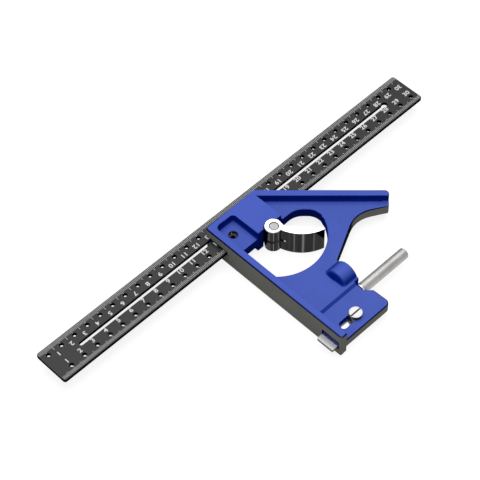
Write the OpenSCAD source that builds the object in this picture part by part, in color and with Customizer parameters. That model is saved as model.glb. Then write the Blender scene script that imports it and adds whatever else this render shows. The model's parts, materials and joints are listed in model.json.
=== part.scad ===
// Combination square with a cam lever lock, a sliding blade, a scriber and a retractable foot.
// The origin is the middle of the fence face. X runs along the blade, Z is up out of the flat head.

/* [Blade] */
// Length of the graduated blade
blade_l = 304.8; // [270:0.1:340]
// Width of the blade
blade_w = 25.4; // [24:0.1:27]
// Thickness of the blade
blade_t = 2.4; // [2:0.1:2.8]
// Radius of the blade's four corners
blade_corner_r = 1.5; // [0.5:0.1:2.5]
// How far the blade reaches past the fence face, on the head's side
blade_reach = 175.3; // [160:0.1:190]
// Width of the slot along the middle of the blade
slot_w = 2.8; // [2.4:0.1:3.4]
// From the zero end of the blade to the start of the slot
slot_near = 22.5; // [18:0.1:30]
// From the far end of the blade to the middle of the slot's round end
slot_far = 21.8; // [18:0.1:30]
// Diameter of the round end of the slot
slot_eye_d = 4; // [3.4:0.1:5]
// Diameter of the marking holes
mark_d = 2.5; // [1.5:0.1:3]
// Distance between the marking holes of a row
mark_pitch = 10; // [10:1:20]
// Distance of each row of marking holes from the middle of the blade
mark_row = 7.3; // [6:0.1:8]

/* [Head] */
// Thickness of the head
head_t = 17.8; // [16:0.1:20]
// Length of the fence above the origin
fence_up = 60.05; // [58:0.05:62]
// Length of the fence below the origin
fence_down = 53.5; // [51:0.1:58]
// Thickness of the fence flange
fence_t = 5; // [4:0.1:6]
// Length of the straight top edge, from the fence face to the 45 degree face
top_w = 41.6; // [41:0.1:44]
// How far the 45 degree face runs along X
miter_run = 58.5; // [54:0.1:62]
// Thickness of the rim along the 45 degree face
rim_t = 4.3; // [3.4:0.1:5]
// Length of the square end face of the arm
arm_end = 8.2; // [7:0.1:10]
// Width of the top band beside the blade
band_w = 4.05; // [3.5:0.05:4.5]
// Thickness of the web
web_t = 7.2; // [6.4:0.1:8]
// From the top edge of the head to the middle of the blade
blade_inset = 6.05; // [5:0.05:7]
// Clearance round the blade in its channel
blade_gap = 0.05; // [0.03:0.01:0.1]
// Radius of the round opening
opening_r = 31.6; // [29:0.1:32.4]
// Diameter of the sight hole over the blade
sight_d = 5.2; // [4:0.1:6]
// Width of the lower part of the head
tail_w = 41.6; // [40:0.1:43]
// Height of the end block above the middle of the head
end_up = 2.5; // [2.2:0.1:3.2]
// Depth of the end block below the middle of the head
end_down = 4.4; // [4.2:0.1:5.2]

/* [Clamp] */
// Width of the clamp block
clamp_w = 20.15; // [18:0.05:22]
// From the fence face to the clamp block
clamp_x = 19.75; // [18:0.05:21]
// Thickness of the wall between the blade's channel and the front of the clamp block
clamp_wall = 6.75; // [6:0.05:7.5]
// Diameter of the lever's barrel
barrel_d = 11; // [10:0.1:12]
// Height of the lever
lever_h = 19; // [18:0.1:21]
// Eccentricity of the cam
cam_e = 0.5; // [0.3:0.05:0.6]
// How deep the barrel sits in its seat
seat_depth = 2.95; // [2.6:0.05:3.2]
// Diameter of the lever's pin
pin_d = 5.6; // [4.8:0.1:6]
// Radius of the lever arm's outer edge
arm_r = 26.7; // [24:0.1:30]
// Distance from the middle of the barrel to the tip of the arm
arm_reach = 31.2; // [28:0.1:34]
// Angle of the arm below the X axis
arm_angle = 48.5; // [44:0.5:52]
// Thickness of the drawbar's plate
drawbar_t = 1.3; // [1:0.1:1.4]
// Width of the drawbar
drawbar_w = 6.4; // [6:0.1:8]

/* [Scriber] */
// Diameter of the scriber's handle
handle_d = 7.2; // [6.6:0.1:7.8]
// Length of the scriber's handle
handle_l = 38.9; // [30:0.1:45]
// Diameter of the scriber's shank
shank_d = 4.2; // [3.6:0.1:4.6]
// Length of the scriber's shank
shank_l = 21; // [19:0.1:23]
// Diameter of the scriber's needle
needle_d = 2.2; // [1.6:0.1:2.6]
// Free length of the needle
needle_l = 7; // [5:0.1:8]
// Outer diameter of the bush
bush_d = 5.8; // [5.4:0.1:6]
// Length of the bush in the head
bush_l = 13; // [10:0.1:15]

/* [Foot] */
// Width of the foot plate
foot_w = 12.4; // [11:0.1:13]
// Thickness of the foot plate
foot_t = 2; // [1.6:0.1:2.4]
// Length of the foot plate
foot_l = 33; // [31:0.1:34]
// How far the foot stands out of the fence
foot_out = 4.6; // [2:0.1:8]
// Travel of the foot between the ends of its slot
foot_travel = 10.1; // [8:0.1:11]
// Diameter of the foot screw's head
screw_head_d = 8; // [7:0.1:9]
// Diameter of the foot screw's shoulder, which runs in the slot
shoulder_d = 5.4; // [5:0.1:6]
// Diameter of the foot screw's thread
thread_d = 3.9; // [3:0.1:4.5]

/* [Hidden] */
$fn = 64;
overrun = 1;

// Blade and channel
zero_x = blade_reach - blade_l;
blade_y = fence_up - blade_inset;
channel_low = blade_y - blade_w / 2 - blade_gap;
first_mark = mark_pitch / 2;

// Outline of the head
corner_top_r = 2.3;
corner_miter_r = 1.5;
corner_tip_r = 2.5;
corner_end_r = 1;
waist_x = 75.3;
waist_y = 6.1;
waist_r = 18.6;
armpit_rise = 43.3;
armpit_y = armpit_rise - fence_down;
armpit_r = 0.8;
corner_tail_r = 3.5;
corner_fence_r = 1;
notch_x = 37.8;
notch_top = 4.4;
notch_low = 3.2;
notch_slope = 4.1;
notch_slope_y = 3.8;
tail_flare = 0.9;
pocket_r = 3;
clamp_front = channel_low - clamp_wall;
miter_sum = top_w + fence_up;
rim_sum = miter_sum - rim_t * sqrt(2);
cove_r = 1.8;
boss_cove_r = 4;

// Round opening
opening_x = 29.8;
opening_drop = 4.9;
opening_y = clamp_front - opening_drop;
opening_shoulder_x = 51.6;
opening_shoulder_r = 12;
opening_turn_drop = 9.6;
opening_turn_r = 10;
opening_start = -20;
opening_steps = 24;

// Sight hole
sight_x = 11.3;
sight_drop = 6.7;

// Boss
boss_r = 8.2;
boss_x = 30.3;
boss_rise = 34;
boss_y = boss_rise - fence_down;
boss_z = head_t / 2 - boss_r;

// End block
end_step_rise = 24.5;
end_step_y = end_step_rise - fence_down;
end_step_run = 1.9;

// Clamp parts
pin_x = 30.2;
seat_play = 1;
seat_gap = 0.15;
barrel_r = barrel_d / 2;
pin_y = clamp_front + seat_depth - barrel_r - cam_e;
slit_gap = 0.1;
drawbar_z = -0.2;
drawbar_gap = 0.1;
pin_gap = 0.05;
pin_sink = 0.2;
slit_r = 7.1;
relief_d = 1.6;
relief_angle = 70;
eye_r = 5;
tongue_t = 1.3;
tongue_sink = 0.2;
tongue_play = 0.05;
tongue_room = 0.6;
tip_trim = 0.8;
arm_root_r = 3;
barrel_chamfer = 0.4;
spring_d = 2.6;
spring_wire = 0.4;
spring_l = 8;
spring_turns = 8;
spring_gap = 0.05;
spring_room = 0.3;
spring_z = -1.6;
spring_inset = 8.5;
spring_y = clamp_front + spring_inset;
window_w = 3.4;
window_extra = 1;
rings_per_turn = 10;
wire_sides = 6;

// Scriber parts
scriber_rise = 20.55;
scriber_y = scriber_rise - fence_down;
scriber_z = (end_up - end_down) / 2;
flange_d = 8.6;
flange_t = 0.6;
handle_gap = 0.1;
handle_x = notch_x + flange_t + handle_gap;
shank_gap = 0.05;
ring_l = 2;
handle_chamfer = 0.8;
needle_seat = 6;
needle_cone = 5;
needle_tip_d = 0.3;
spot_gap = 0.4;

// Foot parts
foot_rise = 8.8;
foot_y = foot_rise - fence_down;
foot_top = -1.4;
foot_gap = 0.05;
foot_side_gap = 0.1;
window_side_gap = 0.5;
window_room = 3.4;
foot_corner_r = 2.4;
foot_screw_x = 21.4;
slot_end_gap = 0.1;
washer_t = 0.5;
washer_d = 8.4;
head_l = 1.9;
driver_w = 1.2;
driver_depth = 0.9;
shoulder_rise = 0.2;
thread_gap = 0.05;

// Points of the arc that rounds corner b of the path a, b, c with radius b[2]
function unit(v) = v / norm(v);
function polar(r, angle) = r * [cos(angle), sin(angle)];
function arc_points(a, b, c, steps) =
    let (
        p = [b[0], b[1]],
        u = unit([a[0], a[1]] - p),
        v = unit([c[0], c[1]] - p),
        half = acos(u * v) / 2,
        middle = p + unit(u + v) * b[2] / sin(half),
        first = p + u * b[2] / tan(half) - middle,
        last = p + v * b[2] / tan(half) - middle,
        from = atan2(first[1], first[0]),
        sweep = (atan2(last[1], last[0]) - from + 540) % 360 - 180
    )
    b[2] == 0 ? [p] : [for (i = [0:steps]) middle + polar(b[2], from + sweep * i / steps)];

// A closed outline from corners [x, y, radius]
function rounded(corners, steps = 6) =
    let (n = len(corners))
    [for (i = [0:n - 1])
        let (before = corners[(i + n - 1) % n], after = corners[(i + 1) % n])
        each arc_points(before, corners[i], after, steps)];

// Outline of the whole head
function head_outline() = rounded([
    [0, fence_up, corner_top_r],
    [0, -fence_down, corner_fence_r],
    [tail_w + tail_flare, -fence_down, corner_tail_r],
    [notch_x + notch_slope, scriber_y - notch_low - notch_slope_y, 0],
    [notch_x, scriber_y - notch_low, 0],
    [notch_x, scriber_y + notch_top, 0],
    [tail_w, scriber_y + notch_top, 0],
    [tail_w, armpit_y, armpit_r],
    [waist_x, waist_y, waist_r],
    [top_w + miter_run - arm_end / sqrt(2), fence_up - miter_run - arm_end / sqrt(2), corner_end_r],
    [top_w + miter_run, fence_up - miter_run, corner_tip_r],
    [top_w, fence_up, corner_miter_r]
]);

// Outline of the round opening, straight along the fence and the clamp block
function opening_outline() =
    let (
        last = acos((opening_x - fence_t) / opening_r) - 180,
        step = (last - opening_start) / opening_steps,
        right = opening_x + opening_r * cos(opening_start)
    )
    concat(
        rounded([
            [fence_t, clamp_front, 0],
            [opening_shoulder_x, clamp_front, opening_shoulder_r],
            [opening_x + opening_r, clamp_front - opening_turn_drop, opening_turn_r],
            [right, opening_y + opening_r * sin(opening_start), 0]
        ]),
        [for (i = [1:opening_steps])
            [opening_x, opening_y] + polar(opening_r, opening_start + step * i)]
    );

// Everything inside the rims, on one side of the web
module recess() {
    band_y = fence_up - band_w;
    far = top_w + miter_run + head_t;
    difference() {
        polygon(rounded([
            [fence_t, band_y, pocket_r],
            [fence_t, -fence_down - overrun, 0],
            [far, -fence_down - overrun, 0],
            [far, rim_sum - far, 0],
            [rim_sum - band_y, band_y, 0]
        ]));
        translate([clamp_x, clamp_front]) square([clamp_w, band_y - clamp_front + overrun]);
        translate([clamp_x - pocket_r, band_y - pocket_r]) difference() {
            square(pocket_r + overrun);
            circle(pocket_r);
        }
    }
}

// The half of the plane on one side of the step to the end block
module upper_half() {
    translate([0, end_step_y]) square([top_w + miter_run + head_t, fence_up - end_step_y]);
}

// Fillet between a wall and the web, from a to b, with the open side on the left
module cove(a, b) {
    along = b - a;
    translate([a[0], a[1], web_t / 2]) rotate([0, 0, atan2(along[1], along[0])]) rotate([90, 0, 90])
        linear_extrude(norm(along)) difference() {
            square(cove_r);
            translate([cove_r, cove_r]) circle(cove_r);
        }
}

// Fillets at the foot of each long wall, on the upper side
module coves() {
    band_y = fence_up - band_w;
    rim_end = top_w + miter_run - rim_t * sqrt(2);
    clamp_right = clamp_x + clamp_w;
    cove([clamp_x, band_y], [fence_t, band_y]);
    cove([fence_t, band_y], [fence_t, end_step_y]);
    cove([clamp_x, clamp_front], [clamp_x, band_y]);
    cove([clamp_right, rim_sum - clamp_right], [clamp_right, clamp_front]);
    cove([rim_end, rim_sum - rim_end], [clamp_right, rim_sum - clamp_right]);
}

// Horizontal boss at the edge of the tail, with its fillets to the web
module boss() {
    rise = web_t / 2 + boss_cove_r - boss_z;
    run = sqrt(pow(boss_r + boss_cove_r, 2) - rise * rise);
    translate([boss_x, boss_y, boss_z]) rotate([90, 0, 90]) {
        cylinder(h = tail_w - boss_x, r = boss_r);
        linear_extrude(tail_w - boss_x) difference() {
            polygon([[0, 0], [run, rise], [run, web_t / 2 - boss_z], [0, web_t / 2 - boss_z]]);
            translate([run, rise]) circle(boss_cove_r);
        }
    }
}

// The end block lies lower than the web, behind a sloping step
module end_cut() {
    top = web_t / 2;
    low_y = -fence_down - overrun;
    translate([fence_t, 0, 0]) rotate([90, 0, 90]) linear_extrude(tail_w) polygon([
        [end_step_y, top + overrun],
        [end_step_y, top],
        [end_step_y - end_step_run, end_up],
        [low_y, end_up],
        [low_y, top + overrun]
    ]);
}

// Channel for the blade, slot for the drawbar, seat for the barrel and pocket for the spring
module clamp_cuts() {
    slot_end = blade_y - slot_w / 2 + tongue_play + tongue_t + tongue_room;
    plate_low = drawbar_z - drawbar_t - drawbar_gap;
    bar_room = drawbar_w + 2 * drawbar_gap;
    translate([-overrun, channel_low, -blade_gap])
        cube([top_w + miter_run, blade_w + overrun, blade_t + 2 * blade_gap]);
    translate([pin_x - bar_room / 2, opening_y, plate_low])
        cube([bar_room, slot_end - opening_y, -blade_gap - plate_low]);
    translate([pin_x, pin_y + cam_e + seat_gap - seat_play, 0])
        cylinder(h = head_t + 2 * overrun, r = barrel_r + seat_play, center = true);
    translate([pin_x, spring_y, spring_z]) rotate([-90, 0, 0])
        cylinder(h = spring_l + spring_room, d = spring_d + spring_room);
}

// Stepped bore for the scriber, with a spot face for its handle
module scriber_cuts() {
    translate([notch_x, scriber_y, scriber_z]) rotate([0, 90, 0]) {
        cylinder(h = tail_w, d = flange_d + spot_gap);
        translate([0, 0, -bush_l - ring_l]) cylinder(h = bush_l + ring_l + overrun, d = bush_d);
        translate([0, 0, -shank_l - needle_l - overrun])
            cylinder(h = shank_l + needle_l, d = shank_d + 2 * shank_gap);
    }
}

// Tunnel in the fence, channel under the end block and slot for the foot's screw
module foot_cuts() {
    width = foot_w + 2 * foot_side_gap;
    window = foot_w + 2 * window_side_gap;
    slot_width = shoulder_d + 2 * slot_end_gap;
    left = foot_screw_x - foot_travel + slot_end_gap;
    right = foot_screw_x + slot_end_gap;
    translate([-overrun, foot_y - window / 2, foot_top - foot_t - foot_gap])
        cube([fence_t + overrun, window, foot_t + foot_gap + window_room]);
    translate([fence_t, foot_y - width / 2, -end_down - overrun])
        cube([foot_l - foot_out - fence_t + overrun, width, foot_top + foot_gap + end_down + overrun]);
    for (x = [left, right])
        translate([x, foot_y, foot_top]) cylinder(h = head_t, d = slot_width);
    translate([left, foot_y - slot_width / 2, foot_top]) cube([right - left, slot_width, head_t]);
}

module head() {
    color([0.32, 0.39, 0.74]) difference() {
        union() {
            difference() {
                linear_extrude(head_t, center = true) polygon(head_outline());
                translate([0, 0, web_t / 2]) linear_extrude(head_t) recess();
                translate([0, 0, -web_t / 2 - head_t]) linear_extrude(head_t) intersection() {
                    recess();
                    upper_half();
                }
                translate([0, 0, -end_down - head_t]) linear_extrude(head_t) difference() {
                    recess();
                    upper_half();
                }
            }
            intersection() {
                linear_extrude(head_t, center = true) polygon(head_outline());
                union() {
                    coves();
                    mirror([0, 0, 1]) coves();
                }
            }
            boss();
        }
        end_cut();
        translate([0, 0, -head_t]) linear_extrude(2 * head_t) polygon(opening_outline());
        clamp_cuts();
        translate([sight_x, blade_y - sight_drop, blade_t / 2]) cylinder(h = head_t, d = sight_d);
        scriber_cuts();
        foot_cuts();
    }
}

// Graduated blade with two rows of marking holes and a slot for the drawbar's tongue
module blade() {
    slot_end = blade_l - slot_far;
    flat = blade_l - 2 * blade_corner_r;
    color([0.27, 0.27, 0.28]) translate([zero_x, blade_y, 0]) difference() {
        union() {
            translate([blade_corner_r, -blade_w / 2, 0]) cube([flat, blade_w, blade_t]);
            translate([0, blade_corner_r - blade_w / 2, 0])
                cube([blade_l, blade_w - 2 * blade_corner_r, blade_t]);
            for (x = [blade_corner_r, blade_l - blade_corner_r], side = [-1, 1])
                translate([x, side * (blade_w / 2 - blade_corner_r), 0])
                    cylinder(h = blade_t, r = blade_corner_r);
        }
        translate([0, 0, -overrun]) {
            for (x = [first_mark:mark_pitch:blade_l - first_mark])
                translate([x, mark_row, 0]) cylinder(h = blade_t + 2 * overrun, d = mark_d, $fn = 24);
            for (x = [mark_pitch:mark_pitch:blade_l - blade_corner_r])
                translate([x, -mark_row, 0]) cylinder(h = blade_t + 2 * overrun, d = mark_d, $fn = 24);
            translate([slot_near + slot_w / 2, -slot_w / 2, 0])
                cube([slot_end - slot_near - slot_w / 2, slot_w, blade_t + 2 * overrun]);
            translate([slot_near + slot_w / 2, 0, 0]) cylinder(h = blade_t + 2 * overrun, d = slot_w);
            translate([slot_end, 0, 0]) cylinder(h = blade_t + 2 * overrun, d = slot_eye_d);
        }
    }
}

// Flat bar with an eye for the pin, a window for the spring and a tongue in the blade's slot
module drawbar() {
    tongue_y = blade_y - slot_w / 2 + tongue_play;
    low = drawbar_z - drawbar_t;
    color([0.62, 0.62, 0.64]) difference() {
        union() {
            translate([pin_x, pin_y, low]) cylinder(h = drawbar_t, r = eye_r);
            translate([pin_x - drawbar_w / 2, pin_y, low])
                cube([drawbar_w, tongue_y + tongue_t - pin_y, drawbar_t]);
            translate([pin_x - drawbar_w / 2, tongue_y, low])
                cube([drawbar_w, tongue_t, blade_t - tongue_sink - low]);
        }
        translate([pin_x, pin_y, low - overrun])
            cylinder(h = drawbar_t + 2 * overrun, d = pin_d + 2 * pin_gap);
        translate([pin_x - window_w / 2, spring_y - window_extra, low - overrun])
            cube([window_w, spring_l + window_extra + spring_gap, drawbar_t + 2 * overrun]);
    }
}

// Points of the wire's rings, from one end of the coil to the other
function wire_points() =
    let (
        coil = (spring_d - spring_wire) / 2,
        rings = spring_turns * rings_per_turn
    )
    [for (i = [0:rings], j = [0:wire_sides - 1])
        let (
            turn = 360 * i / rings_per_turn,
            side = 360 * j / wire_sides,
            r = coil + spring_wire / 2 * cos(side),
            y = spring_wire / 2 + (spring_l - spring_wire) * i / rings
        )
        [r * cos(turn), y + spring_wire / 2 * sin(side), r * sin(turn)]];

// Faces of a tube with the given number of rings
function tube_faces(rings, sides) = concat(
    [for (i = [0:rings - 2], j = [0:sides - 1])
        let (k = (j + 1) % sides) each [
            [i * sides + j, i * sides + k, (i + 1) * sides + j],
            [i * sides + k, (i + 1) * sides + k, (i + 1) * sides + j]
        ]],
    [for (j = [1:sides - 2]) [0, j + 1, j]],
    [for (j = [1:sides - 2]) [for (k = [0, j, j + 1]) (rings - 1) * sides + k]]
);

// Small compression spring that pushes the drawbar towards the blade
module drawbar_spring() {
    color([0.55, 0.55, 0.57]) translate([pin_x, spring_y, spring_z])
        polyhedron(wire_points(), tube_faces(spring_turns * rings_per_turn + 1, wire_sides));
}

// Crescent arm, a slice of a round disc whose chord runs through the middle of the barrel
module arm_profile() {
    chord = arm_reach + tip_trim;
    half = asin(chord / 2 / arm_r);
    along = sqrt(pow(barrel_r + arm_root_r, 2) - arm_root_r * arm_root_r);
    rotate(-arm_angle) {
        intersection() {
            difference() {
                translate([chord / 2, arm_r * cos(half)]) circle(arm_r, $fn = 128);
                translate([-arm_reach, 0]) square([3 * arm_reach, 3 * arm_r]);
            }
            circle(arm_reach, $fn = 128);
        }
        difference() {
            polygon([[0, 0], [along, 0], [along, arm_root_r]]);
            translate([along, arm_root_r]) circle(arm_root_r);
        }
    }
}

// Cam lever, slit across its barrel for the drawbar's eye
module cam_lever() {
    color([0.9, 0.9, 0.91]) difference() {
        translate([pin_x, pin_y + cam_e, 0]) {
            rotate_extrude() polygon([
                [0, -lever_h / 2],
                [barrel_r - barrel_chamfer, -lever_h / 2],
                [barrel_r, barrel_chamfer - lever_h / 2],
                [barrel_r, lever_h / 2 - barrel_chamfer],
                [barrel_r - barrel_chamfer, lever_h / 2],
                [0, lever_h / 2]
            ]);
            linear_extrude(lever_h, center = true) arm_profile();
        }
        translate([pin_x, pin_y, drawbar_z - drawbar_t / 2])
            cylinder(h = drawbar_t + 2 * slit_gap, r = slit_r, center = true);
        translate([pin_x + slit_r * cos(relief_angle), pin_y - slit_r * sin(relief_angle), 0])
            cylinder(h = lever_h + 2 * overrun, d = relief_d, center = true, $fn = 24);
        translate([pin_x, pin_y, 0]) cylinder(h = lever_h + 2 * overrun, d = pin_d, center = true);
    }
}

module lever_pin() {
    color([0.6, 0.6, 0.62]) translate([pin_x, pin_y, 0])
        cylinder(h = lever_h - 2 * pin_sink, d = pin_d, center = true);
}

// Handle and shank in one piece, drilled for the needle
module scriber_handle() {
    color([0.72, 0.72, 0.73]) translate([handle_x, scriber_y, scriber_z]) rotate([0, 90, 0])
        difference() {
            rotate_extrude() polygon([
                [0, -shank_l],
                [shank_d / 2, -shank_l],
                [shank_d / 2, 0],
                [handle_d / 2 - handle_chamfer / 2, 0],
                [handle_d / 2, handle_chamfer / 2],
                [handle_d / 2, handle_l - handle_chamfer],
                [handle_d / 2 - handle_chamfer, handle_l],
                [0, handle_l]
            ]);
            translate([0, 0, -shank_l - overrun]) cylinder(h = needle_seat + overrun, d = needle_d);
        }
}

module scriber_point() {
    color([0.5, 0.5, 0.52]) translate([handle_x - shank_l, scriber_y, scriber_z]) rotate([0, 90, 0])
        rotate_extrude() polygon([
            [0, -needle_l],
            [needle_tip_d / 2, -needle_l],
            [needle_d / 2, needle_cone - needle_l],
            [needle_d / 2, needle_seat],
            [0, needle_seat]
        ]);
}

// Flanged bush that the scriber slides in
module scriber_bush() {
    color([0.85, 0.85, 0.86]) translate([notch_x, scriber_y, scriber_z]) rotate([0, 90, 0])
        difference() {
            union() {
                translate([0, 0, -bush_l]) cylinder(h = bush_l + flange_t, d = bush_d);
                cylinder(h = flange_t, d = flange_d);
            }
            translate([0, 0, -bush_l - overrun])
                cylinder(h = bush_l + flange_t + 2 * overrun, d = shank_d + 2 * shank_gap);
        }
}

// Friction ring behind the bush, which keeps the scriber in
module scriber_ring() {
    ring_x = notch_x - bush_l - ring_l;
    color([0.15, 0.15, 0.16]) translate([ring_x, scriber_y, scriber_z]) rotate([0, 90, 0])
        difference() {
            cylinder(h = ring_l, d = bush_d);
            translate([0, 0, -overrun]) cylinder(h = ring_l + 2 * overrun, d = shank_d + 2 * shank_gap);
        }
}

// Plate that slides out of the fence, tapped for its screw
module support_foot() {
    color([0.88, 0.88, 0.89]) translate([-foot_out, foot_y, foot_top - foot_t]) difference() {
        union() {
            translate([foot_corner_r, -foot_w / 2, 0]) cube([foot_l - foot_corner_r, foot_w, foot_t]);
            translate([0, foot_corner_r - foot_w / 2, 0])
                cube([foot_l, foot_w - 2 * foot_corner_r, foot_t]);
            for (side = [-1, 1])
                translate([foot_corner_r, side * (foot_w / 2 - foot_corner_r), 0])
                    cylinder(h = foot_t, r = foot_corner_r);
        }
        translate([foot_screw_x + foot_out, 0, -overrun])
            cylinder(h = foot_t + 2 * overrun, d = thread_d + 2 * thread_gap);
    }
}

// Slotted shoulder screw that guides and locks the foot
module foot_screw() {
    seat = end_up + washer_t;
    color([0.86, 0.86, 0.87]) translate([foot_screw_x, foot_y, 0]) difference() {
        union() {
            translate([0, 0, foot_top - foot_t]) cylinder(h = foot_t + seat - foot_top, d = thread_d);
            translate([0, 0, foot_top + shoulder_rise])
                cylinder(h = seat - foot_top - shoulder_rise, d = shoulder_d);
            translate([0, 0, seat]) cylinder(h = head_l, d = screw_head_d);
        }
        translate([0, 0, seat + head_l])
            cube([screw_head_d + overrun, driver_w, 2 * driver_depth], center = true);
    }
}

module foot_washer() {
    color([0.7, 0.7, 0.71]) translate([foot_screw_x, foot_y, end_up]) difference() {
        cylinder(h = washer_t, d = washer_d);
        translate([0, 0, -overrun])
            cylinder(h = washer_t + 2 * overrun, d = shoulder_d + 2 * thread_gap);
    }
}

head();
blade();
drawbar();
drawbar_spring();
cam_lever();
lever_pin();
scriber_handle();
scriber_point();
scriber_bush();
scriber_ring();
support_foot();
foot_screw();
foot_washer();
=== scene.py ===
"""Combination square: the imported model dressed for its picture.

Lengths are written in millimetres, and times MM they are Blender's metres. The driving sizes
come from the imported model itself.
"""

import json
import math

import bmesh
import bpy
from mathutils import Matrix, Vector


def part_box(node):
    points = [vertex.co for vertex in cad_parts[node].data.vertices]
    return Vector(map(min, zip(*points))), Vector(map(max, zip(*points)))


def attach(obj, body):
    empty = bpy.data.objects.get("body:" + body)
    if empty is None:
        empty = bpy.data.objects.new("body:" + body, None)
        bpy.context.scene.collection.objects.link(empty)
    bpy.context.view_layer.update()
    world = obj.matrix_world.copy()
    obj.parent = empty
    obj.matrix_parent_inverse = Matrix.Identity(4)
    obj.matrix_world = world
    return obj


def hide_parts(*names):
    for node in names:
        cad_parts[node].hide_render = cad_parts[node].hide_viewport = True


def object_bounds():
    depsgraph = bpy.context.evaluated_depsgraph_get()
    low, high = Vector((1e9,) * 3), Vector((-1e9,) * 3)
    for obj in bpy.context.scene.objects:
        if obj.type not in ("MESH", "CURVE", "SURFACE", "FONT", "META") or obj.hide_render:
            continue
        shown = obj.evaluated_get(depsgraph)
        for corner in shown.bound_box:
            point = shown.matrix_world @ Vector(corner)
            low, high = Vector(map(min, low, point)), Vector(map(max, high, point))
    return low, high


MM = 0.001
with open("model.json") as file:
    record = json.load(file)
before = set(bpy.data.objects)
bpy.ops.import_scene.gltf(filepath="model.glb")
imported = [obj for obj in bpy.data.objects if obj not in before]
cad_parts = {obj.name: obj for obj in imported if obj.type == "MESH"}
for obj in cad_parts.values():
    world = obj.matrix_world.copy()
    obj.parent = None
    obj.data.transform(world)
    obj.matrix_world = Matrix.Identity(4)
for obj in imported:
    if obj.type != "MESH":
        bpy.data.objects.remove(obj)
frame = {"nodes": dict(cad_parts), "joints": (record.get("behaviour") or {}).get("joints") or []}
nodes = frame["nodes"]
cad_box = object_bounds()


def corners_of(node):
    """A node's lowest and highest corners, in millimetres."""
    low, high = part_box(node)
    return low / MM, high / MM


def axis_of(joint):
    """Where a turning joint's axis crosses the plan, in millimetres."""
    place = next(each["pos_m"] for each in frame["joints"] if each["name"] == joint)
    return place[0] / MM, place[1] / MM


# Blade
BLADE_LOW, BLADE_HIGH = corners_of("blade")
BLADE_LENGTH, BLADE_WIDTH, BLADE_THICKNESS = BLADE_HIGH - BLADE_LOW
BLADE_ZERO_X = BLADE_LOW.x
BLADE_MIDDLE_Y = (BLADE_LOW.y + BLADE_HIGH.y) / 2
BLADE_CORNER = 1.5
MARK_PITCH = 10
HOLE_ROW = 7.3
HOLE_R = 1.25

# Painted shade: a dark ring beyond each hole's edge, from where it fades to where it is
# gone. The blade's ends have no holes, so the pattern stops there.
HOLE_SHADE_RING = (0.2, 0.35)
HOLE_FREE_END = 2.0

# Graduations: how far from the blade's middle they begin, in the upper and the lower row
TEN_FROM = (8.3, 8.7)
TEN_FROM_NEAR_ZERO = (7.7, 8.7)
TEN_NEAR_ZERO = 80
FIVE_FROM = (8.8, 8.8)
ONE_FROM = (9.7, 9.7)
TICK_WIDTH = 0.23
TICK_EDGE_GAP = 0.1
TICK_LOWER_SHORTER = 0.6

# Numbers: the middle of each row, and how far it is turned
LAST_NUMBER = 30
NUMBER_ROWS = ((-3.3, 0.0), (4.0, math.pi))
NUMBER_SIZE = 4.0
NUMBER_SPACING = 1.05
NUMBER_BOLDER = 0.10
NUMBER_STRETCH = (1.15, 1.03)

# The white marks stand this proud of both faces of the blade
INLAY = 0.012
INLAY_FACES = ((1, BLADE_THICKNESS + INLAY), (-1, -INLAY))

# Lever, its pin, and the plug and dowel at the end of its slit
PIN_X, PIN_Y = axis_of("lever_swing")
PIN_RIM_R = 2.6
PIN_GAP_R = (3.2, 3.4)
CAM_THROW = 0.5
BARREL_Y = PIN_Y + CAM_THROW
BARREL_R = 5.5
LEVER_FACE_Z = corners_of("cam_lever")[1].z
SLIT_EDGE_Z = 0.65
SLIT_R = 7.1
PLUG_X = 32.63
PLUG_Y = 24.78
PLUG_R = 0.84
PLUG_SUNK = 0.05
DOWEL_X = 32.18
DOWEL_Y = 23.85
DOWEL_R = 0.6
DOWEL_L = 0.5
DOWEL_AXIS = (-0.92, -0.39, 0)
ROUND_END_EDGE = 0.06
ROUND_END_ANGLE = 60
ROUND_SIDES = 32

# Painted streaks of reflected light on the lever's dark-painted walls: place, half width and
# brightness. Those of the arm lie at distances from the barrel's middle, those of the barrel at
# places across it.
ARM_STREAKS = ((14.0, 0.9, 0.10), (19.1, 1.0, 0.17), (25.2, 0.7, 0.09))
BARREL_STREAKS = ((0.1, 0.4, 0.20), (-2.6, 0.6, 0.07), (3.1, 0.5, 0.09))
BARREL_ACROSS = (0.712, -0.702)

# Head: corners of its outline, each with its radius
HEAD_LOW, HEAD_HIGH = corners_of("head")
HEAD_CORNERS = [
    (0, HEAD_HIGH.y, 2.3),
    (0, HEAD_LOW.y, 1),
    (42.5, HEAD_LOW.y, 3.5),
    (41.9, -40.05, 0),
    (37.8, -36.15, 0),
    (37.8, -28.55, 0),
    (41.6, -28.55, 0),
    (41.6, -10.2, 0.8),
    (75.3, 6.1, 18.6),
    (94.3, -4.25, 1),
    (100.1, 1.55, 2.5),
    (41.6, HEAD_HIGH.y, 1.5),
]
WEB_Z = 3.6

# Rounding of the head's sharp edges, between faces at least this broad
HEAD_EDGE = 0.6
HEAD_BROAD = 0.6
HEAD_SHARP_ANGLE = 35
HEAD_SMOOTH_ANGLE = 20
SAME_FACE_ANGLE = 0.5
WELD = 0.002

# A face of the head is a wall or lies flat by the upright part of its normal, and it belongs to
# the outer edge where a step out from its middle leaves the outline
WALL_BELOW = 0.2
FLAT_ABOVE = 0.95
STEP_OUT = 0.5

# The rims' rounded upper edges begin here
RIM_EDGE_Z = 8.5

# Painted shade along the fence's edge and the end below it, from where it fades to where it is
# gone
EDGE_SHADE_LINE = (0.7, 0.95)

# Sight hole, with a ring of painted shade round it
SIGHT = (11.3, 47.3)
SIGHT_SHADE_R = 3.1

# Notch beside the scriber
NOTCH_X = 37.0
NOTCH_LOW = -40.5
NOTCH_TOP = -28.0

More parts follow.
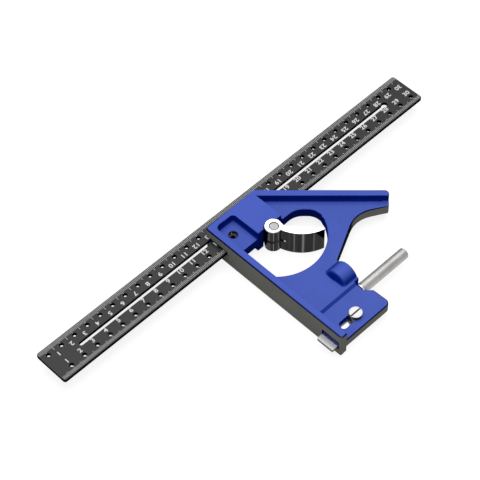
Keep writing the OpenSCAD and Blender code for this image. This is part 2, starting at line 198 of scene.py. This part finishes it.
# Boss beside the scriber, and the blend between it and the web
BOSS_END_X = 30.3
BOSS_Y = -19.5
BOSS_Z = 0.7
BOSS_R = 8.2
BOSS_TOE_X = 29.5
BOSS_CROWN_X = 32.6
BOSS_FAR_BLEND = 3.0
BOSS_NEAR_BLEND = 1.6
BOSS_LIFT = 0.03
BOSS_LIFT_RISE = 0.3
BOSS_SINK = 0.01
BOSS_MARGIN = 0.2
BOSS_CLEAR = 0.1
BOSS_PATCH_X = (24.5, 41.2)
BOSS_PATCH_Y = (-28.7, -7.0)
BOSS_CELLS = (36, 48)

# Foot and its screw
FOOT_LOW, FOOT_HIGH = corners_of("support_foot")
FOOT_Y = (FOOT_LOW.y + FOOT_HIGH.y) / 2
FOOT_WIDTH = FOOT_HIGH.y - FOOT_LOW.y
FOOT_CORNER = 2.4
FOOT_CORNER_SHARP = 0.6
# Where the foot's lip begins, and where the painted highlight on its outer strip begins
FOOT_LIP_X = -0.4
FOOT_HIGHLIGHT_X = -2.9
SCREW_X, SCREW_Y = axis_of("foot_screw_turn")
SCREW_TOP_Z = corners_of("foot_screw")[1].z
# Depths over which the slot's floor is painted a shaded grey, and where painted shade round the
# head's rim begins
SCREW_SLOT_DEPTH = (0.5, 0.2)
SCREW_RIM_R = 3.5
FOOT_SLOT_END_X = 11.4
FOOT_SLOT_R = 2.8
FOOT_SLOT_MARGIN = 1
FOOT_STOP_ROOM = 0.08

# Studio: the floor lies under the lowest point
FLOOR_Z = cad_box[0][2] / MM
FLOOR_REACH = 3000
PAPER_LEVEL = 0.35
PAPER_SEEN = 0.84
WORLD_LIGHT = 0.35
WORLD_SEEN = 1.0
LAMP_PLACE = (150, 250, 1400)
LAMP_TARGET = (30, 30, 0)
LAMP_SIZE = 1600
LAMP_WATTS = 14.0

# Edges flatter than this shade smoothly
SMOOTH_ANGLE = 30

# How softly a painted border fades, and how near counts as touching
FADE = 0.2
NEAR = 0.01


# Camera, fitted to the marking holes in the picture


def make_camera():
    data = bpy.data.cameras.new("photo_camera")
    data.sensor_fit = "HORIZONTAL"
    data.sensor_width = 36.0
    data.lens = 135.67
    data.clip_start = 0.05
    data.clip_end = 50.0
    camera = bpy.data.objects.new("photo_camera", data)
    bpy.context.scene.collection.objects.link(camera)
    place = Vector((-443.8, -435.35, 873.8)) * MM
    right = Vector((0.711958, -0.702113, -0.012343))
    down = Vector((-0.565002, -0.562309, -0.603805))
    ahead = Vector((0.416999, 0.436858, -0.797036))
    turn = Matrix((right, -down, -ahead)).transposed()
    camera.matrix_world = Matrix.Translation(place) @ turn.to_4x4()
    bpy.context.scene.camera = camera


# Shader arithmetic


class Wire:
    """An output socket, with the arithmetic that adds Math nodes."""

    def __init__(self, make, socket):
        self.make = make
        self.socket = socket

    def math(self, operation, *values):
        return self.make.add("ShaderNodeMath", {"operation": operation}, dict(enumerate(values)))

    def __add__(self, other):
        return self.math("ADD", self, other)

    __radd__ = __add__

    def __sub__(self, other):
        return self.math("SUBTRACT", self, other)

    def __rsub__(self, other):
        return self.math("SUBTRACT", other, self)

    def __mul__(self, other):
        return self.math("MULTIPLY", self, other)

    __rmul__ = __mul__

    def __truediv__(self, other):
        return self.math("DIVIDE", self, other)

    def __pow__(self, other):
        return self.math("POWER", self, other)

    def __abs__(self):
        return self.math("ABSOLUTE", self)

    def folded(self, length):
        """Up and down between 0 and length."""
        return self.math("PINGPONG", self, length)

    def at_most(self, limit):
        return self.math("MINIMUM", self, limit)

    def ramp(self, low, high):
        """0 below low, 1 above high, smooth between them."""
        return self.make.add(
            "ShaderNodeMapRange",
            {"interpolation_type": "SMOOTHSTEP"},
            {"Value": self, "From Min": low, "From Max": high},
        )

    def fall(self, low, high):
        """1 below low, 0 above high, smooth between them."""
        return 1.0 - self.ramp(low, high)

    def streak(self, middle, half_width):
        """1 in the middle of a streak, 0 from half its width on."""
        return (abs(self - middle) / half_width).fall(0.0, 1.0)


class Nodes:
    """The nodes of a material, or of the world."""

    def __init__(self, owner):
        owner.use_nodes = True
        self.owner = owner
        self.tree = owner.node_tree
        self.tree.nodes.clear()

    def add(self, kind, settings=None, sockets=None, output=0):
        """Adds a node with its settings, then its sockets' values or links.

        Returns one of its outputs, or nothing where it has none.
        """
        node = self.tree.nodes.new(kind)
        for key, value in (settings or {}).items():
            setattr(node, key, value)
        for key, value in (sockets or {}).items():
            if isinstance(value, Wire):
                self.tree.links.new(value.socket, node.inputs[key])
            else:
                node.inputs[key].default_value = value
        return Wire(self, node.outputs[output]) if len(node.outputs) else None

    def place(self):
        """Position on the piece, in millimetres."""
        here = self.add("ShaderNodeTexCoord", output=3)
        return self.add("ShaderNodeVectorMath", {"operation": "SCALE"}, {0: here, "Scale": 1 / MM})

    def facing(self):
        """The piece's own normal, split in x, y and z."""
        return self.split(self.add("ShaderNodeTexCoord", output=1))

    def lies_flat(self, low=0.4, high=0.8):
        """1 on the faces that lie flat, 0 on the walls."""
        return abs(self.facing()[2]).ramp(low, high)

    def split(self, vector):
        first = self.add("ShaderNodeSeparateXYZ", None, {0: vector})
        outputs = first.socket.node.outputs
        return [Wire(self, outputs[axis]) for axis in range(3)]

    def stretched(self, vector, factors):
        return self.add(
            "ShaderNodeVectorMath", {"operation": "MULTIPLY"}, {0: vector, 1: factors}
        )

    def noise(self, vector, scale, detail=2.0, roughness=0.5):
        return self.add(
            "ShaderNodeTexNoise",
            None,
            {"Vector": vector, "Scale": scale, "Detail": detail, "Roughness": roughness},
        )

    def blend(self, factor, first, second):
        """Mixes two colours."""
        return self.add(
            "ShaderNodeMix", {"data_type": "RGBA"}, {0: factor, 6: first, 7: second}, output=2
        )

    def bump(self, height, strength, distance):
        return self.add(
            "ShaderNodeBump",
            None,
            {"Height": height, "Strength": strength, "Distance": distance * MM},
        )

    def seen(self):
        """1 on rays by which the backdrop is seen: direct, mirrored or through glass."""
        rays = self.add("ShaderNodeLightPath").socket.node.outputs
        kinds = ("Is Camera Ray", "Is Glossy Ray", "Is Transmission Ray")
        direct, mirrored, through = (Wire(self, rays[kind]) for kind in kinds)
        return (direct + mirrored + through).at_most(1.0)

    def surface(self, **sockets):
        """Ends the material with a Principled shader."""
        named = {}
        for key, value in sockets.items():
            named[key.replace("_", " ").title().replace("Ior", "IOR")] = value
        shader = self.add("ShaderNodeBsdfPrincipled", None, named)
        self.add("ShaderNodeOutputMaterial", None, {0: shader})
        return self.owner


def new_finish(name):
    return Nodes(bpy.data.materials.new(name))


def colour(red, green, blue):
    return (red, green, blue, 1.0)


def grey(level):
    return colour(level, level, level)


def away_from(x, y, centre):
    """Distance in the plan."""
    return ((x - centre[0]) ** 2 + (y - centre[1]) ** 2) ** 0.5


# Finishes


def blue_coat(name="blue_coat", low=0.78):
    """Satin blue coat with a fine grain and painted light: paler the flatter a face lies, painted
    shade on the walls.
    """
    make = new_finish(name)
    place = make.place()
    x, y, z = make.split(place)
    level = abs(make.facing()[2])
    flat = level.ramp(low, 1.0)
    on_rim = (abs(z) - RIM_EDGE_Z).ramp(0.0, 0.1)
    cloud = make.noise(place, 0.06, 3.0).ramp(0.3, 0.7)
    # Painted shade: the walls get a deeper blue than the faces that lie flat
    shaded_wall = make.blend(cloud, colour(0.002, 0.020, 0.27), colour(0.003, 0.025, 0.32))
    # Painted highlight on the rims' rounded edges
    shaded_wall = make.blend(on_rim * level.ramp(0.1, 0.4), shaded_wall, colour(0.105, 0.155, 0.66))
    face = make.blend(cloud, colour(0.074, 0.128, 0.590), colour(0.082, 0.140, 0.630))
    # Painted highlight: the rims' tops a little paler
    face = make.blend(on_rim * 0.35, face, colour(0.080, 0.145, 0.760))
    # Painted shade round the sight hole and along the fence's edge
    sight_shade_ring = (away_from(x, y, SIGHT) - SIGHT_SHADE_R).fall(-0.1, 0.15)
    edge_shade_line = x.at_most(y - HEAD_LOW.y).fall(*EDGE_SHADE_LINE) * on_rim
    painted_shade = sight_shade_ring + edge_shade_line.at_most(1.0 - sight_shade_ring)
    grain = make.noise(place, 1.6, 3.0, 0.6)
    return make.surface(
        base_color=make.blend(painted_shade, make.blend(flat, shaded_wall, face), colour(0.003, 0.008, 0.09)),
        roughness=0.45 + 0.1 * cloud,
        specular_ior_level=0.0,
        coat_weight=0.25 * flat,
        coat_roughness=0.35,
        normal=make.bump(grain, 0.12, 0.05),
    )


def edge_coat():
    """The same coat where it turns down over the outer edge, painted dark as shade."""
    make = new_finish("edge_coat")
    cloud = make.noise(make.place(), 0.3, 3.0)
    return make.surface(
        base_color=make.blend(cloud, colour(0.001, 0.004, 0.05), colour(0.002, 0.008, 0.10)),
        roughness=0.5,
        specular_ior_level=0.0,
    )


def ground_edge():
    """Dark plated metal of the ground faces round the head, painted black as shade on the arm's
    wall.
    """
    make = new_finish("ground_edge")
    place = make.place()
    lines = make.noise(make.stretched(place, (1.0, 1.0, 14.0)), 0.5, 3.0)
    cloud = make.noise(place, 0.05, 2.0)
    bare = make.blend(cloud, colour(0.290, 0.298, 0.268), colour(0.350, 0.350, 0.318))
    across, along = make.facing()[:2]
    # Painted shade: black on the arm's wall, chosen by which way it faces
    arm_wall_shade = across.ramp(0.15, 0.42) * (0.0 - along).ramp(0.3, 0.6)
    return make.surface(
        base_color=make.blend(arm_wall_shade, bare, grey(0.02)),
        roughness=0.42 + 0.1 * lines,
        specular_ior_level=0.0,
        normal=make.bump(lines, 0.05, 0.02),
    )


def black_satin():
    """Black satin blade, with painted shade in its holes and round them, in its slot and on its
    edges.
    """
    make = new_finish("black_satin")
    place = make.place()
    x, y = make.split(place)[:2]
    lines = make.noise(make.stretched(place, (0.08, 6.0, 1.0)), 1.0, 3.0)
    cloud = make.noise(place, 0.04, 2.0)
    from_zero = x - BLADE_ZERO_X
    along = from_zero.folded(MARK_PITCH / 2)
    upper = (along - MARK_PITCH / 2) ** 2 + (y - BLADE_MIDDLE_Y - HOLE_ROW) ** 2
    lower = along**2 + (y - BLADE_MIDDLE_Y + HOLE_ROW) ** 2
    ring_in, ring_out = (HOLE_R + beyond for beyond in HOLE_SHADE_RING)
    plain = upper.at_most(lower).ramp(ring_in**2, ring_out**2)
    fade = HOLE_FREE_END + FADE
    at_near_end = from_zero.fall(HOLE_FREE_END, fade)
    at_far_end = from_zero.ramp(BLADE_LENGTH - fade, BLADE_LENGTH - HOLE_FREE_END)
    # Painted shade on every wall and round the holes
    flat = make.lies_flat() * (plain + at_near_end + at_far_end).at_most(1.0)
    return make.surface(
        base_color=make.blend(flat, grey(0.002), make.blend(cloud, grey(0.029), grey(0.035))),
        roughness=0.42 + 0.12 * lines,
        specular_ior_level=0.0,
        coat_weight=0.5 * flat,
        coat_roughness=0.3,
        normal=make.bump(lines, 0.06, 0.02),
    )


def mark_white():
    make = new_finish("mark_white")
    wear_and_highlight = make.noise(make.place(), 0.9, 3.0).ramp(0.3, 0.75)
    return make.surface(base_color=make.blend(wear_and_highlight, grey(0.80), grey(0.95)), roughness=0.55)


def lever_chrome():
    """Polished chrome with painted reflections: bright on the flat faces, dark with upright light
    streaks on the walls.
    """
    make = new_finish("lever_chrome")
    place = make.place()
    x, y, z = make.split(place)
    flat = make.lies_flat(0.45, 0.85) * (abs(z) - LEVER_FACE_Z).ramp(-0.6, -0.3)
    away = away_from(x, y, (PIN_X, BARREL_Y))
    reflection_streaks = make.noise(make.stretched(place, (1.0, 1.0, 0.01)), 0.45, 2.0).ramp(0.45, 0.75)
    # Painted reflections: the walls dark, with upright streaks of light
    shaded_wall = make.blend(reflection_streaks, grey(0.015), grey(0.032))
    for distance, half_width, level in ARM_STREAKS:
        shaded_wall = make.blend(away.streak(distance, half_width), shaded_wall, grey(level))
    side = BARREL_ACROSS[0] * (x - PIN_X) + BARREL_ACROSS[1] * (y - BARREL_Y)
    on_barrel = away.fall(BARREL_R + 0.2, BARREL_R + 0.5)
    for distance, half_width, level in BARREL_STREAKS:
        shaded_wall = make.blend(on_barrel * side.streak(distance, half_width), shaded_wall, grey(level))
    # Painted shade in the slit
    slit_shade = (abs(z) - SLIT_EDGE_Z).fall(0.15, 0.3) * (away - SLIT_R).fall(0.0, 0.3)
    shaded_wall = make.blend(slit_shade, shaded_wall, grey(0.004))
    gap = away_from(x, y, (PIN_X, PIN_Y)).fall(*PIN_GAP_R)
    top = make.blend(gap, grey(0.93), grey(0.02))
    grain = make.noise(place, 3.0, 2.0)
    return make.surface(
        base_color=make.blend(flat, shaded_wall, top),
        metallic=1.0,
        roughness=0.10 + 0.06 * grain,
    )


def bright_chrome(name, level=0.9, rough=0.09):
    make = new_finish(name)
    grain = make.noise(make.place(), 1.5, 3.0)
    return make.surface(
        base_color=make.blend(grain, grey(level - 0.04), grey(level)),
        metallic=1.0,
        roughness=rough + 0.05 * grain,
        normal=make.bump(grain, 0.02, 0.02),
    )


def satin_plate(name):
    """Satin bright plate, brushed along X, with a painted highlight on its outer lip and painted
    shade on its edges.
    """
    make = new_finish(name)
    place = make.place()
    x = make.split(place)[0]
    lines = make.noise(make.stretched(place, (0.3, 8.0, 1.0)), 1.0, 3.0)
    lip = x.fall(FOOT_LIP_X - FADE, FOOT_LIP_X + FADE)
    # Painted highlight on the lip's outer strip
    wear_and_highlight = x.fall(FOOT_HIGHLIGHT_X - FADE, FOOT_HIGHLIGHT_X + FADE)
    shank = make.blend(lines, grey(0.80), grey(0.92))
    face = make.blend(lip, shank, make.blend(lines, grey(0.82), grey(0.92)))
    face = make.blend(wear_and_highlight, face, grey(1.0))
    return make.surface(
        # Painted shade on the edges
        base_color=make.blend(make.lies_flat(), grey(0.03), face),
        metallic=1.0 - 0.9 * lip,
        roughness=0.22 + 0.1 * lines,
        normal=make.bump(lines, 0.06, 0.02),
    )


def screw_steel():
    """Turned screw head: bright face, with painted shade in the slot, round the rim and on the
    sides.
    """
    make = new_finish("screw_steel")
    x, y, z = make.split(make.place())
    away = away_from(x, y, (SCREW_X, SCREW_Y))
    turned = make.add("ShaderNodeCombineXYZ", None, {0: away})
    rings = make.noise(turned, 2.2, 2.0).ramp(0.35, 0.65)
    top = make.blend(rings, grey(0.27), grey(0.62))
    # Painted shade on the slot's floor
    out_of_slot = (z - SCREW_TOP_Z).ramp(-SCREW_SLOT_DEPTH[0], -SCREW_SLOT_DEPTH[1])
    top = make.blend(out_of_slot, grey(0.16), top)
    # Painted shade round the head's rim
    top = make.blend((away - SCREW_RIM_R).ramp(0.0, 0.3) * 0.7, top, grey(0.30))
    return make.surface(
        base_color=make.blend(make.lies_flat(), grey(0.10), top),
        metallic=1.0,
        roughness=0.24 + 0.1 * rings,
    )


def pin_steel():
    """End of the lever's pin, brushed grey, with a dark gap round it."""
    make = new_finish("pin_steel")
    place = make.place()
    x, y = make.split(place)[:2]
    rim = (away_from(x, y, (PIN_X, PIN_Y)) - PIN_RIM_R).ramp(0.0, 0.15)
    grain = make.noise(make.stretched(place, (0.4, 3.0, 1.0)), 1.0, 2.0)
    return make.surface(
        base_color=make.blend(rim, make.blend(grain, grey(0.26), grey(0.36)), grey(0.015)),
        metallic=1.0,
        roughness=0.3,
    )


def turned_steel(name, level, rough, fineness=(2.0, 2.0, 2.0)):
    """Steel with the fine lines of its machining, of a fineness along x, y and z."""
    make = new_finish(name)
    lines = make.noise(make.stretched(make.place(), fineness), 1.2, 3.0)
    return make.surface(
        base_color=make.blend(lines, grey(level * 0.85), grey(level)),
        metallic=1.0,
        roughness=rough + 0.12 * lines,
        normal=make.bump(lines, 0.10, 0.03),
    )


def brushed_handle():
    """Scriber handle, turned and brushed in fine rings, with a soft sheen."""
    make = new_finish("brushed_handle")
    place = make.place()
    rings = make.noise(make.stretched(place, (7.0, 0.4, 0.4)), 1.0, 3.0)
    stain = make.noise(place, 0.12, 2.0).ramp(0.35, 0.65)
    tone = make.blend(stain, colour(0.43, 0.425, 0.42), colour(0.52, 0.515, 0.51))
    return make.surface(
        base_color=make.blend(rings, colour(0.31, 0.305, 0.30), tone),
        metallic=1.0,
        roughness=0.34 + 0.1 * rings,
        normal=make.bump(rings, 0.25, 0.05),
    )


def black_rubber():
    make = new_finish("black_rubber")
    grain = make.noise(make.place(), 4.0, 2.0)
    return make.surface(
        base_color=make.blend(grain, grey(0.02), grey(0.035)),
        roughness=0.7,
        normal=make.bump(grain, 0.2, 0.05),
    )


# Mesh helpers


def dress(node, finish):
    mesh = nodes[node].data
    mesh.materials.clear()
    mesh.materials.append(finish)


def new_piece(name, mesh, body, slot, *finishes):
    """Links a mesh as a piece that rides on a body."""
    piece = bpy.data.objects.new(name, mesh)
    bpy.context.scene.collection.objects.link(piece)
    for finish in finishes:
        mesh.materials.append(finish)
    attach(piece, body)
    return piece


def mesh_of(name, shape):
    """Turns a finished shape into a mesh."""
    mesh = bpy.data.meshes.new(name)
    shape.to_mesh(mesh)
    shape.free()
    return mesh


def smooth_by_angle(piece, angle=SMOOTH_ANGLE):
    shape = bmesh.new()
    shape.from_mesh(piece.data)
    for edge in shape.edges:
        edge.smooth = not edge.is_manifold or edge.calc_face_angle() < math.radians(angle)
    shape.to_mesh(piece.data)
    shape.free()
    piece.modifiers.new("even_faces", "WEIGHTED_NORMAL").keep_sharp = True


# Head


def rounded(corners, steps=6):
    """A closed outline from corners (x, y, radius)."""
    points = []
    befores = corners[-1:] + corners[:-1]
    afters = corners[1:] + corners[:1]
    for before, corner, after in zip(befores, corners, afters):
        here, radius = Vector(corner[:2]), corner[2]
        if radius == 0:
            points.append(here)
            continue
        u = (Vector(before[:2]) - here).normalized()
        v = (Vector(after[:2]) - here).normalized()
        half = math.acos(u.dot(v)) / 2
        middle = here + (u + v).normalized() * radius / math.sin(half)
        first = here + u * radius / math.tan(half) - middle
        last = here + v * radius / math.tan(half) - middle
        start = math.atan2(first.y, first.x)
        turn = math.atan2(last.y, last.x) - start
        sweep = (turn + 3 * math.pi) % (2 * math.pi) - math.pi
        for step in range(steps + 1):
            angle = start + sweep * step / steps
            points.append(middle + Vector((math.cos(angle), math.sin(angle))) * radius)
    return points


def is_inside(x, y, outline):
    inside = False
    for first, second in zip(outline, outline[1:] + outline[:1]):
        if (first.y > y) != (second.y > y):
            if x < first.x + (y - first.y) * (second.x - first.x) / (second.y - first.y):
                inside = not inside
    return inside


def is_broad(face):
    """Whether a face, taken as its area over its longest edge, is broad enough to round."""
    return face.calc_area() / max(edge.calc_length() for edge in face.edges) > HEAD_BROAD * MM


def softened_head():
    """A copy of the head's mesh, whose sharp outer edges between broad faces are rounded."""
    shape = bmesh.new()
    shape.from_mesh(nodes["head"].data)
    bmesh.ops.remove_doubles(shape, verts=shape.verts, dist=WELD * MM)
    bmesh.ops.dissolve_limit(
        shape, angle_limit=math.radians(SAME_FACE_ANGLE), verts=shape.verts, edges=shape.edges
    )
    sharp = []
    for edge in shape.edges:
        if edge.is_manifold and edge.is_convex:
            if edge.calc_face_angle() > math.radians(HEAD_SHARP_ANGLE):
                if all(is_broad(face) for face in edge.link_faces):
                    sharp.append(edge)
    bmesh.ops.bevel(
        shape,
        geom=sharp,
        offset=HEAD_EDGE * MM,
        offset_type="OFFSET",
        segments=2,
        profile=0.5,
        affect="EDGES",
        clamp_overlap=False,
        miter_outer="SHARP",
    )
    mesh = mesh_of("head_casting", shape)
    mesh.shade_smooth()
    return mesh


def make_room(mesh):
    """Draws the boss's plain end back under its blend, and frees the screw at the foot's stop."""
    for vertex in mesh.vertices:
        x, y, z = vertex.co / MM
        across_boss = abs(y - BOSS_Y) < BOSS_R + BOSS_MARGIN
        if across_boss and abs(x - BOSS_END_X) < HEAD_EDGE and z > WEB_Z + BOSS_CLEAR:
            vertex.co.x += (BOSS_CROWN_X - BOSS_END_X) * MM
        from_stop = Vector((x - FOOT_SLOT_END_X, y - SCREW_Y)).length
        at_stop = from_stop < FOOT_SLOT_R + FOOT_SLOT_MARGIN
        if at_stop and x < FOOT_SLOT_END_X and abs(z) < WEB_Z:
            vertex.co.x -= FOOT_STOP_ROOM * MM


def bare_the_edge(mesh, ground, turned):
    """Gives the faces round the head's outline the ground finish, and their rounding the other."""
    outline = rounded(HEAD_CORNERS)
    for face in mesh.polygons:
        level = abs(face.normal.z)
        if level >= FLAT_ABOVE:
            continue
        out = face.center / MM + Vector(face.normal[:2]).normalized().to_3d() * STEP_OUT
        in_notch = out.x > NOTCH_X and NOTCH_LOW < out.y < NOTCH_TOP
        if not is_inside(out.x, out.y, outline) and not in_notch:
            face.material_index = ground if level < WALL_BELOW else turned


def make_head():
    """The casting, coated blue, with bare ground faces all round its edge."""
    coat = blue_coat()
    mesh = softened_head()
    piece = new_piece(
        "head_casting", mesh, "square_head", "head_paint", coat, ground_edge(), edge_coat()
    )
    make_room(mesh)
    bare_the_edge(mesh, ground=1, turned=2)
    smooth_by_angle(piece, HEAD_SMOOTH_ANGLE)
    dress("head", coat)
    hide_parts("head")


def boss_height(x, y):
    """Height of the boss with its rounded end, run smoothly into the web."""
    across = y - BOSS_Y
    round_part = BOSS_R**2 - across**2
    crown = math.sqrt(round_part) if round_part > 0 else BOSS_R - abs(across)
    along = min(1.0, max(0.0, (BOSS_CROWN_X - x) / (BOSS_CROWN_X - BOSS_TOE_X)))
    level = BOSS_Z + crown * math.sqrt(1.0 - along**2)
    reach = BOSS_FAR_BLEND if across > 0 else BOSS_NEAR_BLEND
    share = max(0.0, reach - abs(level - WEB_Z)) / reach
    return max(level, WEB_Z) + share**2 * reach / 4


def make_boss_blend():
    """Cast blend that runs the boss into the web, laid over the plain boss."""
    shape = bmesh.new()
    left, right = BOSS_PATCH_X
    low, high = BOSS_PATCH_Y
    columns, lines = BOSS_CELLS
    rows = []
    for i in range(lines + 1):
        row = []
        for j in range(columns + 1):
            y = low + (high - low) * i / lines
            x = left + (right - left) * j / columns
            z = boss_height(x, y)
            z += BOSS_LIFT * min(1.0, (z - WEB_Z) / BOSS_LIFT_RISE) - BOSS_SINK
            row.append(shape.verts.new(Vector((x, y, z)) * MM))
        rows.append(row)
    for first, second in zip(rows, rows[1:]):
        for j in range(columns):
            corners = (first[j], first[j + 1], second[j + 1], second[j])
            if max(corner.co.z for corner in corners) > WEB_Z * MM:
                shape.faces.new(corners)
    unused = [corner for corner in shape.verts if not corner.link_faces]
    bmesh.ops.delete(shape, geom=unused, context="VERTS")
    mesh = mesh_of("boss_blend", shape)
    mesh.shade_smooth()
    new_piece("boss_blend", mesh, "square_head", "head_paint", blue_coat("boss_coat", 0.5))


# Lever


def round_piece(name, radius, length, place, finish):
    """A short round piece of the lever, with its ends' edges rounded."""
    shape = bmesh.new()
    bmesh.ops.create_cone(
        shape,
        cap_ends=True,
        segments=ROUND_SIDES,
        radius1=radius * MM,
        radius2=radius * MM,
        depth=length * MM,
        matrix=place,
    )
    end_angle = math.radians(ROUND_END_ANGLE)
    rims = [edge for edge in shape.edges if edge.calc_face_angle() > end_angle]
    bmesh.ops.bevel(
        shape, geom=rims, offset=ROUND_END_EDGE * MM, segments=2, profile=0.5, affect="EDGES"
    )
    mesh = mesh_of(name, shape)
    smooth_by_angle(new_piece(name, mesh, "lock_lever", "lever_chrome", finish))


def make_plug(chrome):
    """Plug in the hole at the end of the lever's slit."""
    place = Matrix.Translation(Vector((PLUG_X, PLUG_Y, 0)) * MM)
    round_piece("lever_plug", PLUG_R, 2 * (LEVER_FACE_Z - PLUG_SUNK), place, chrome)


def make_dowel():
    """Bright dowel end beside the plug, lying across the lever."""
    turn = Vector(DOWEL_AXIS).to_track_quat("Z", "Y").to_matrix().to_4x4()
    place = Matrix.Translation(Vector((DOWEL_X, DOWEL_Y, 0)) * MM) @ turn
    round_piece("lever_dowel", DOWEL_R, DOWEL_L, place, bright_chrome("dowel_chrome", 0.7, 0.3))


# Foot


def make_foot():
    """The foot's plate, with its front corners nearly square."""
    mesh = nodes["support_foot"].data.copy()
    mesh.name = "foot_plate"
    mesh.materials.clear()
    shift = FOOT_CORNER - FOOT_CORNER_SHARP
    for vertex in mesh.vertices:
        x, y, z = vertex.co / MM
        for side in (-1, 1):
            centre_y = FOOT_Y + side * (FOOT_WIDTH / 2 - FOOT_CORNER)
            centre = Vector((FOOT_LOW.x + FOOT_CORNER, centre_y))
            arm = Vector((x, y)) - centre
            if x < centre.x + NEAR and arm.y * side > -NEAR:
                sharper = arm * FOOT_CORNER_SHARP / FOOT_CORNER
                moved = centre + Vector((-shift, side * shift)) + sharper
                vertex.co = Vector((moved.x, moved.y, z)) * MM
    plate = satin_plate("foot_plate")
    piece = new_piece("foot_plate", mesh, "foot", "foot_chrome", plate)
    smooth_by_angle(piece)
    dress("support_foot", plate)
    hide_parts("support_foot")


# Blade marks


def add_bar(shape, x, first, second):
    """A graduation on both faces, x from the blade's zero and y from its middle."""
    left, right = x - TICK_WIDTH / 2, x + TICK_WIDTH / 2
    for side, level in INLAY_FACES:
        points = []
        for a, b in ((left, first), (right, first), (right, second), (left, second)):
            place = Vector((BLADE_ZERO_X + a, BLADE_MIDDLE_Y + side * b, level))
            points.append(shape.verts.new(place * MM))
        shape.faces.new(points)


def blade_marks():
    """Graduations on both faces of the blade, as a thin inlay."""
    shape = bmesh.new()
    for tick in range(1, int(BLADE_LENGTH) + 1):
        inset = 0.0
        from_end = min(tick, BLADE_LENGTH - tick)
        if from_end < BLADE_CORNER:
            inset = BLADE_CORNER - math.sqrt(BLADE_CORNER**2 - (BLADE_CORNER - from_end) ** 2)
        outer = BLADE_WIDTH / 2 - TICK_EDGE_GAP - inset
        if tick % MARK_PITCH == 0:
            upper, lower = TEN_FROM_NEAR_ZERO if tick < TEN_NEAR_ZERO else TEN_FROM
        elif tick % (MARK_PITCH // 2) == 0:
            upper, lower = FIVE_FROM
        else:
            upper, lower = ONE_FROM
        add_bar(shape, tick, upper, outer)
        add_bar(shape, tick, -lower, TICK_LOWER_SHORTER - outer)
    return mesh_of("blade_marks", shape)


def new_number(number, side, level, y, turn):
    """One number as text, on a face of the blade."""
    curve = bpy.data.curves.new("number", "FONT")
    curve.body = str(number)
    curve.size = NUMBER_SIZE
    curve.align_x = "CENTER"
    curve.align_y = "CENTER"
    curve.space_character = NUMBER_SPACING
    curve.offset = NUMBER_BOLDER
    text = bpy.data.objects.new("number", curve)
    bpy.context.scene.collection.objects.link(text)
    x = BLADE_ZERO_X + MARK_PITCH * number
    place = Vector((x, BLADE_MIDDLE_Y + side * y, level)) * MM
    flip = Matrix.Rotation(math.pi, 4, "X") if side < 0 else Matrix.Identity(4)
    wider, taller = NUMBER_STRETCH
    text.matrix_world = (
        Matrix.Translation(place)
        @ Matrix.Rotation(turn, 4, "Z")
        @ flip
        @ Matrix.Diagonal((wider * MM, taller * MM, MM, 1.0))
    )
    return text


def blade_numbers():
    """The numbers of both rows on both faces, as one flat mesh."""
    texts = []
    for side, level in INLAY_FACES:
        for y, turn in NUMBER_ROWS:
            for number in range(1, LAST_NUMBER + 1):
                texts.append(new_number(number, side, level, y, turn))
    bpy.context.view_layer.update()
    shape = bmesh.new()
    graph = bpy.context.evaluated_depsgraph_get()
    for text in texts:
        flat = text.evaluated_get(graph).to_mesh()
        flat.transform(text.matrix_world)
        shape.from_mesh(flat)
        text.evaluated_get(graph).to_mesh_clear()
    for text in texts:
        curve = text.data
        bpy.data.objects.remove(text)
        bpy.data.curves.remove(curve)
    return mesh_of("blade_numbers", shape)


# Studio


def make_floor():
    """Pale paper that keeps the shadow."""
    mesh = bpy.data.meshes.new("floor")
    signs = ((-1, -1), (1, -1), (1, 1), (-1, 1))
    corners = [Vector((a * FLOOR_REACH, b * FLOOR_REACH, FLOOR_Z)) * MM for a, b in signs]
    mesh.from_pydata(corners, [], [(0, 1, 2, 3)])
    floor = bpy.data.objects.new("floor", mesh)
    bpy.context.scene.collection.objects.link(floor)
    make = new_finish("floor_paper")
    paper = make.add("ShaderNodeBsdfDiffuse", None, {"Color": grey(PAPER_LEVEL)})
    shine = {"Color": grey(1.0), "Strength": make.seen() * PAPER_SEEN}
    glow = make.add("ShaderNodeEmission", None, shine)
    both = make.add("ShaderNodeAddShader", None, {0: paper, 1: glow})
    make.add("ShaderNodeOutputMaterial", None, {0: both})
    mesh.materials.append(make.owner)


def make_world():
    """White where it is seen, and a softer light on the object."""
    world = bpy.data.worlds.new("studio")
    bpy.context.scene.world = world
    make = Nodes(world)
    strength = WORLD_LIGHT + (WORLD_SEEN - WORLD_LIGHT) * make.seen()
    background = make.add("ShaderNodeBackground", None, {"Strength": strength})
    make.add("ShaderNodeOutputWorld", None, {0: background})


def make_lamp():
    """One broad lamp overhead."""
    lamp = bpy.data.lights.new("overhead", "AREA")
    lamp.shape = "SQUARE"
    lamp.size = LAMP_SIZE * MM
    lamp.energy = LAMP_WATTS
    above = bpy.data.objects.new("overhead", lamp)
    bpy.context.scene.collection.objects.link(above)
    above.location = Vector(LAMP_PLACE) * MM
    aim = Vector(LAMP_TARGET) * MM - above.location
    above.rotation_euler = aim.to_track_quat("-Z", "Y").to_euler()


make_camera()
make_floor()
make_world()
make_lamp()

make_head()
make_boss_blend()

dress("blade", black_satin())
white = mark_white()
new_piece("blade_marks", blade_marks(), "rule", "blade_black", white)
new_piece("blade_numbers", blade_numbers(), "rule", "blade_black", white)

dress("drawbar", turned_steel("drawbar_steel", 0.035, 0.45))
dress("drawbar_spring", turned_steel("spring_steel", 0.5, 0.25))
chrome = lever_chrome()
dress("cam_lever", chrome)
make_plug(chrome)
make_dowel()
dress("lever_pin", pin_steel())

dress("scriber_handle", brushed_handle())
dress("scriber_point", turned_steel("needle_steel", 0.5, 0.25, (8.0, 0.3, 0.3)))
dress("scriber_bush", bright_chrome("bush_chrome"))
dress("scriber_ring", black_rubber())

make_foot()
dress("foot_screw", screw_steel())
dress("foot_washer", turned_steel("washer_steel", 0.10, 0.35))

bpy.context.scene.view_settings.view_transform = "Standard"
